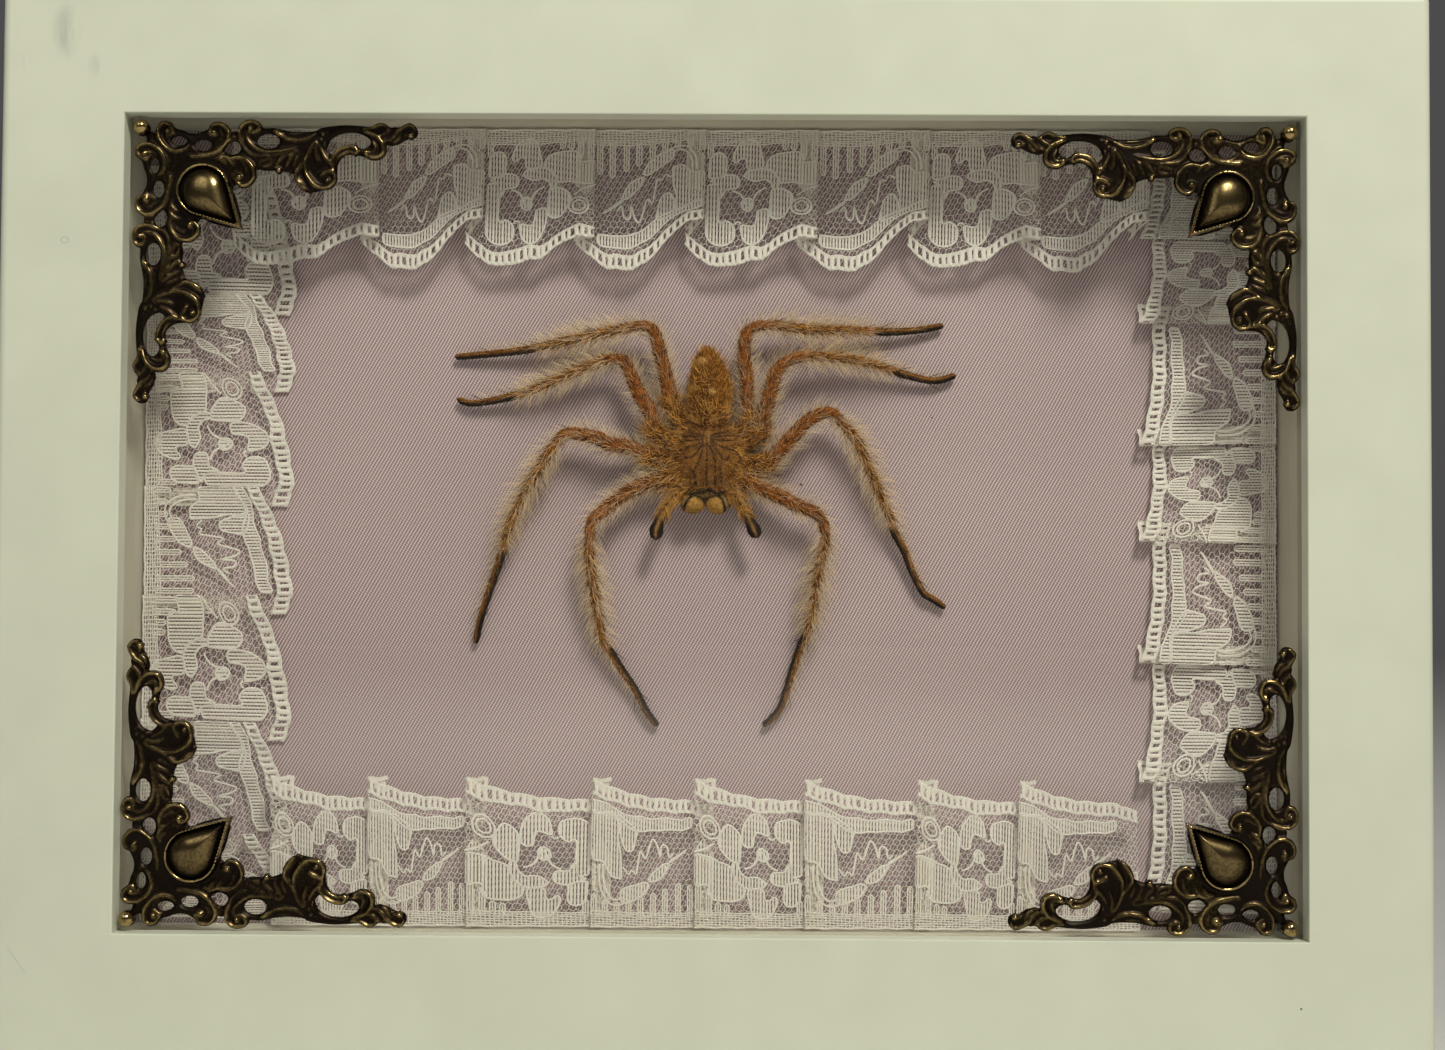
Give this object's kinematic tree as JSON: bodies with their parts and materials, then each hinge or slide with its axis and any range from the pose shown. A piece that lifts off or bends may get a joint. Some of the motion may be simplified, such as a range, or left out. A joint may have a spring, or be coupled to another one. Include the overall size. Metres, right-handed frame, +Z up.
{
  "type": "framed huntsman spider",
  "caption": "Dried huntsman spider lying head down on pink satin in a white box frame, edged with pleated lace ruffles and bronze filigree corners on the glass.",
  "frame": {"origin": "centre of the frame's bottom face, at the middle of its width and depth", "axes": "+X to the viewer's right, +Z up, the glazed front faces -Y"},
  "size_m": [0.2084, 0.032, 0.1555],
  "materials": {
    "white_foil": "fibreboard moulding in smooth satin white foil",
    "clear_glass": "clear float glass",
    "liner_card": "matt grey card",
    "pink_satin": "twill-backed satin with a soft sheen",
    "mount_card": "greyboard",
    "fibreboard": "bare hard fibreboard",
    "zinc_steel": "zinc plated",
    "antique_bronze": "antique bronze plating, rubbed bright on the high spots",
    "white_lace": "open machine lace",
    "spider_cuticle": "dry cuticle under golden hair"
  },
  "bodies": {
    "root": {"frame": "white_foil", "glass": "clear_glass", "spacer": "liner_card", "satin_cloth": "pink_satin", "mount_board": "mount_card", "backing_board": "fibreboard", "tab_1": "zinc_steel", "tab_2": "zinc_steel", "tab_3": "zinc_steel", "tab_4": "zinc_steel", "tab_5": "zinc_steel", "tab_6": "zinc_steel", "hanger": "zinc_steel", "corner_top_left": "antique_bronze", "corner_top_right": "antique_bronze", "corner_bottom_left": "antique_bronze", "corner_bottom_right": "antique_bronze", "lace_top": "white_lace", "lace_bottom": "white_lace", "lace_left": "white_lace", "lace_right": "white_lace", "huntsman_spider": "spider_cuticle"}
  },
  "joints": []
}
